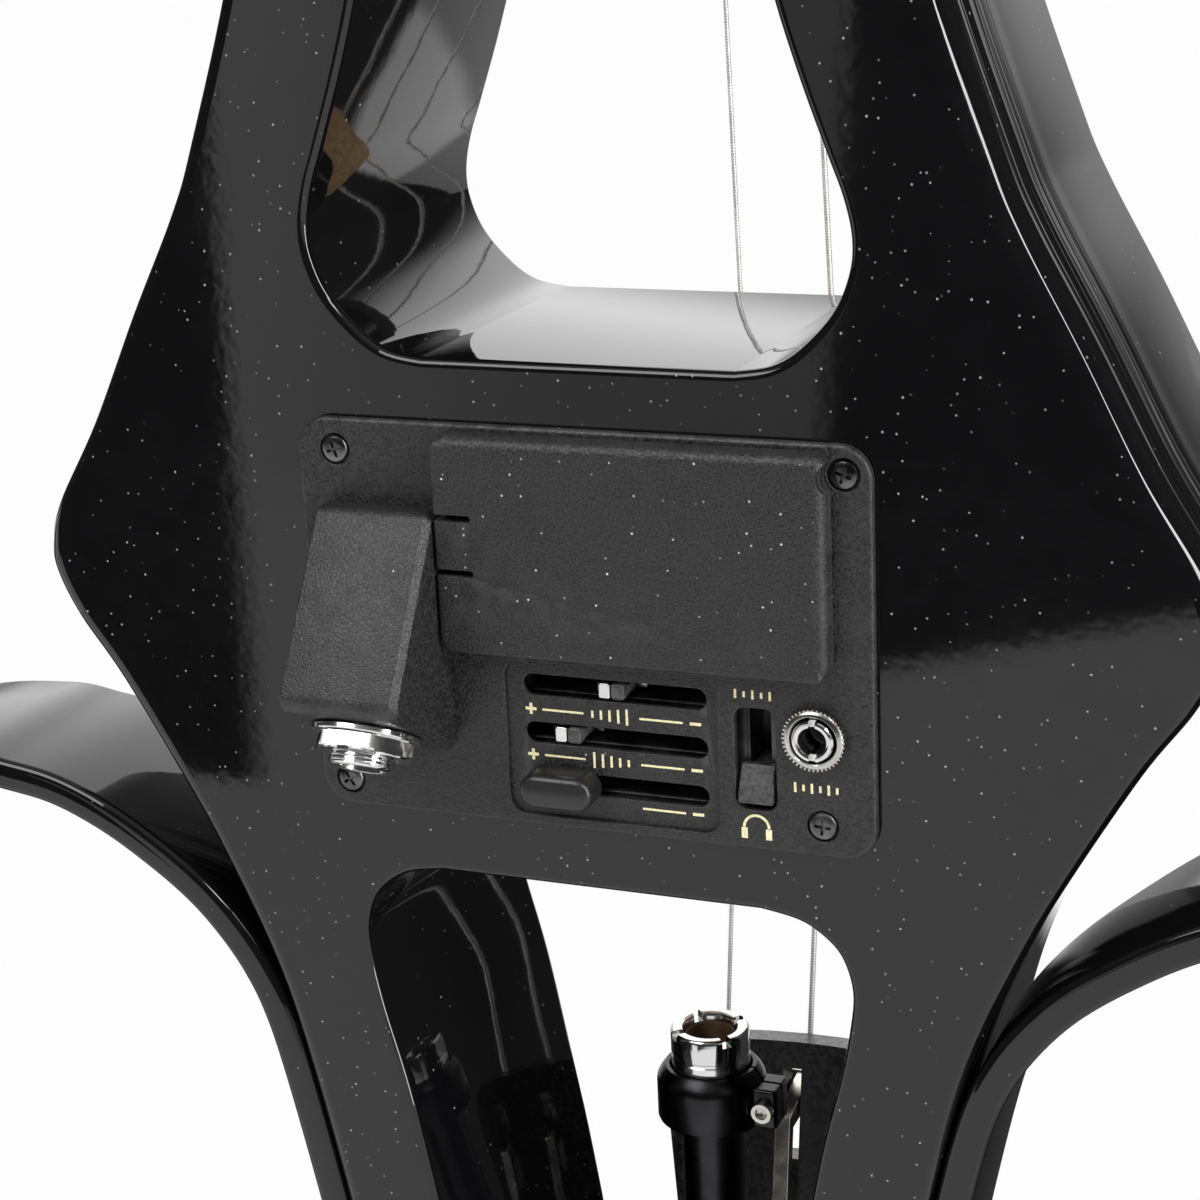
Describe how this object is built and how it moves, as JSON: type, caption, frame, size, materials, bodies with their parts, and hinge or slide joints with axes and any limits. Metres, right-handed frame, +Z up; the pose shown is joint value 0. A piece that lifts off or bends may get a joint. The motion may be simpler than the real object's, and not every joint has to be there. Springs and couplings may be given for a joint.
{
  "type": "electric cello",
  "caption": "Upright electric cello with a slim open frame body, side hoops, bridge pickup, preamp panel in the back, scroll and retractable endpin.",
  "frame": {"origin": "middle of the rubber foot's flat underside, with the endpin stowed", "axes": "+Z up the instrument to the scroll, the strings face -Y, the preamp panel in the back faces +Y, +X to the player's left as they hold it"},
  "size_m": [0.415, 0.1586, 1.2933],
  "materials": {
    "body_lacquer": "gloss black lacquer",
    "wing_lacquer": "gloss black lacquer",
    "neck_lacquer": "gloss black lacquer",
    "ebony": "oiled",
    "bridge_maple": "bare",
    "pickup_plastic": "matte",
    "lead_rubber": "matte",
    "gut_nylon": "satin",
    "tailpiece_plastic": "satin",
    "nickel": "polished nickel",
    "string_steel": "flat wound",
    "chrome": "polished",
    "black_metal": "satin black",
    "black_screw": "blackened",
    "tip_rubber": "matte",
    "preamp_plastic": "fine grain",
    "lever_plastic": "satin",
    "pot_metal": "satin",
    "battery_jacket": "satin",
    "board": "satin"
  },
  "bodies": {
    "instrument": {"body": "body_lacquer", "wing_right": "wing_lacquer", "wing_left": "wing_lacquer", "wing_screw_right_upper": "black_screw", "wing_screw_right_lower": "black_screw", "wing_screw_left_upper": "black_screw", "wing_screw_left_lower": "black_screw", "neck": "neck_lacquer", "fingerboard": "ebony", "nut": "ebony", "bridge": "bridge_maple", "bridge_pickup": "pickup_plastic", "pickup_lead": "lead_rubber", "saddle": "ebony", "tailgut": "gut_nylon", "tailpiece": "tailpiece_plastic", "string_a": "string_steel", "string_d": "string_steel", "string_g": "string_steel", "string_c": "string_steel", "endpin_holder": "black_metal", "preamp_housing": "preamp_plastic", "battery": "battery_jacket", "battery_clip": "preamp_plastic", "circuit_board": "board", "treble_pot": "pot_metal", "bass_pot": "pot_metal", "volume_pot": "pot_metal", "selector_switch": "pot_metal", "aux_jack": "chrome", "aux_jack_ring": "nickel", "output_jack": "chrome", "output_jack_nut": "chrome", "panel_screw_upper_left": "black_screw", "panel_screw_upper_right": "black_screw", "panel_screw_lower_left": "black_screw", "panel_screw_lower_right": "black_screw"},
    "peg_c_body": {"peg_c": "ebony"},
    "peg_a_body": {"peg_a": "ebony"},
    "peg_g_body": {"peg_g": "ebony"},
    "peg_d_body": {"peg_d": "ebony"},
    "tuner_screw_a_body": {"tuner_screw_a": "nickel"},
    "tuner_screw_d_body": {"tuner_screw_d": "nickel"},
    "tuner_screw_g_body": {"tuner_screw_g": "nickel"},
    "tuner_screw_c_body": {"tuner_screw_c": "nickel"},
    "tuner_lever_a_body": {"tuner_lever_a": "nickel"},
    "tuner_lever_d_body": {"tuner_lever_d": "nickel"},
    "tuner_lever_g_body": {"tuner_lever_g": "nickel"},
    "tuner_lever_c_body": {"tuner_lever_c": "nickel"},
    "endpin": {"endpin_tube": "black_metal", "endpin_ferrule": "chrome", "endpin_stop_collar": "black_metal", "endpin_rubber_tip": "tip_rubber"},
    "thumbscrew": {"endpin_thumbscrew": "black_metal"},
    "lid": {"battery_lid": "preamp_plastic"},
    "treble_slider": {"treble_lever": "lever_plastic"},
    "bass_slider": {"bass_lever": "lever_plastic"},
    "volume_slider": {"volume_lever": "lever_plastic", "volume_knob": "lever_plastic"},
    "selector": {"selector_lever": "lever_plastic"}
  },
  "joints": [
    {"name": "peg_c_turn", "type": "hinge", "parent": "instrument", "child": "peg_c_body", "pos_m": [0, 0.01328, 1.11307], "axis": [1, 0, 0], "continuous": true},
    {"name": "peg_a_turn", "type": "hinge", "parent": "instrument", "child": "peg_a_body", "pos_m": [0, 0.01807, 1.13557], "axis": [1, 0, 0], "continuous": true},
    {"name": "peg_g_turn", "type": "hinge", "parent": "instrument", "child": "peg_g_body", "pos_m": [0, 0.02181, 1.16749], "axis": [1, 0, 0], "continuous": true},
    {"name": "peg_d_turn", "type": "hinge", "parent": "instrument", "child": "peg_d_body", "pos_m": [0, 0.0266, 1.18998], "axis": [1, 0, 0], "continuous": true},
    {"name": "tuner_screw_a_turn", "type": "hinge", "parent": "instrument", "child": "tuner_screw_a_body", "pos_m": [0.0219, -0.05724, 0.25439], "axis": [0, 0.9841, 0.1778], "range_deg": [0, 540]},
    {"name": "tuner_screw_d_turn", "type": "hinge", "parent": "instrument", "child": "tuner_screw_d_body", "pos_m": [0.0073, -0.06143, 0.25364], "axis": [0, 0.9841, 0.1778], "range_deg": [0, 540]},
    {"name": "tuner_screw_g_turn", "type": "hinge", "parent": "instrument", "child": "tuner_screw_g_body", "pos_m": [-0.0073, -0.06143, 0.25364], "axis": [0, 0.9841, 0.1778], "range_deg": [0, 540]},
    {"name": "tuner_screw_c_turn", "type": "hinge", "parent": "instrument", "child": "tuner_screw_c_body", "pos_m": [-0.0219, -0.05724, 0.25439], "axis": [0, 0.9841, 0.1778], "range_deg": [0, 540]},
    {"name": "tuner_lever_a_tilt", "type": "hinge", "parent": "instrument", "child": "tuner_lever_a_body", "pos_m": [0.0219, -0.05134, 0.27578], "axis": [1, 0, 0], "range_deg": [0, 2.58]},
    {"name": "tuner_lever_d_tilt", "type": "hinge", "parent": "instrument", "child": "tuner_lever_d_body", "pos_m": [0.0073, -0.05554, 0.27502], "axis": [1, 0, 0], "range_deg": [0, 2.58]},
    {"name": "tuner_lever_g_tilt", "type": "hinge", "parent": "instrument", "child": "tuner_lever_g_body", "pos_m": [-0.0073, -0.05554, 0.27502], "axis": [1, 0, 0], "range_deg": [0, 2.58]},
    {"name": "tuner_lever_c_tilt", "type": "hinge", "parent": "instrument", "child": "tuner_lever_c_body", "pos_m": [-0.0219, -0.05134, 0.27578], "axis": [1, 0, 0], "range_deg": [0, 2.58]},
    {"name": "endpin_slide", "type": "slide", "parent": "instrument", "child": "endpin", "axis": [0, 0, -1], "range_m": [0, 0.19]},
    {"name": "thumbscrew_turn", "type": "hinge", "parent": "instrument", "child": "thumbscrew", "pos_m": [0, -0.0125, 0.0271], "axis": [0, -1, 0], "range_deg": [0, 720]},
    {"name": "lid_hinge", "type": "hinge", "parent": "instrument", "child": "lid", "pos_m": [-0.0353, 0.0443, 0.4122], "axis": [0, 0, 1], "range_deg": [0, 100]},
    {"name": "treble_slide", "type": "slide", "parent": "instrument", "child": "treble_slider", "axis": [1, 0, 0], "range_m": [-0.0098, 0.0098]},
    {"name": "bass_slide", "type": "slide", "parent": "instrument", "child": "bass_slider", "axis": [1, 0, 0], "range_m": [-0.0164, 0.0032]},
    {"name": "volume_slide", "type": "slide", "parent": "instrument", "child": "volume_slider", "axis": [1, 0, 0], "range_m": [-0.0166, 0.0022]},
    {"name": "selector_slide", "type": "slide", "parent": "instrument", "child": "selector", "axis": [0, 0, 1], "range_m": [0, 0.0075]}
  ],
  "couplings": [
    {"joint": "tuner_screw_a_turn", "follows": "tuner_lever_a_tilt", "ratio": 209.42},
    {"joint": "tuner_screw_d_turn", "follows": "tuner_lever_d_tilt", "ratio": 209.42},
    {"joint": "tuner_screw_g_turn", "follows": "tuner_lever_g_tilt", "ratio": 209.42},
    {"joint": "tuner_screw_c_turn", "follows": "tuner_lever_c_tilt", "ratio": 209.42}
  ]
}
